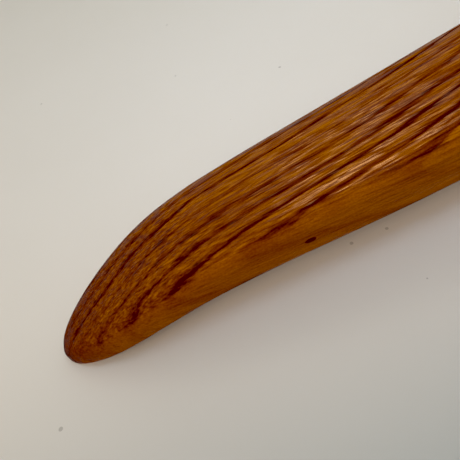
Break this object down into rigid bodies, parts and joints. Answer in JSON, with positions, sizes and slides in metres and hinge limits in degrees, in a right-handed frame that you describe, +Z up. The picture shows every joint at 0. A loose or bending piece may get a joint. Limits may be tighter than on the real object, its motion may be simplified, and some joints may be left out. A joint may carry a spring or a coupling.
{
  "type": "long shoehorn",
  "caption": "Long wooden shoehorn: a scooped, round-tipped heel blade on a slim bowed handle with a lined hanging hole.",
  "frame": {"origin": "on the surface that the shoehorn lies on, below the middle of its length and width", "axes": "+X from the blade's tip to the handle's end, +Y across, +Z up through the blade's back"},
  "size_m": [0.5993, 0.0432, 0.0453],
  "materials": {
    "blade_wood": "oiled teak, satin",
    "shaft_wood": "oiled teak, satin",
    "peg_wood": "dark hardwood, trimmed flush",
    "eyelet_brass": "pressed and lacquered",
    "washer_brass": "stamped and lacquered"
  },
  "bodies": {
    "root": {"blade": "blade_wood", "shaft": "shaft_wood", "scarf_pegs": "peg_wood", "eyelet": "eyelet_brass", "eyelet_washer": "washer_brass"}
  },
  "joints": []
}
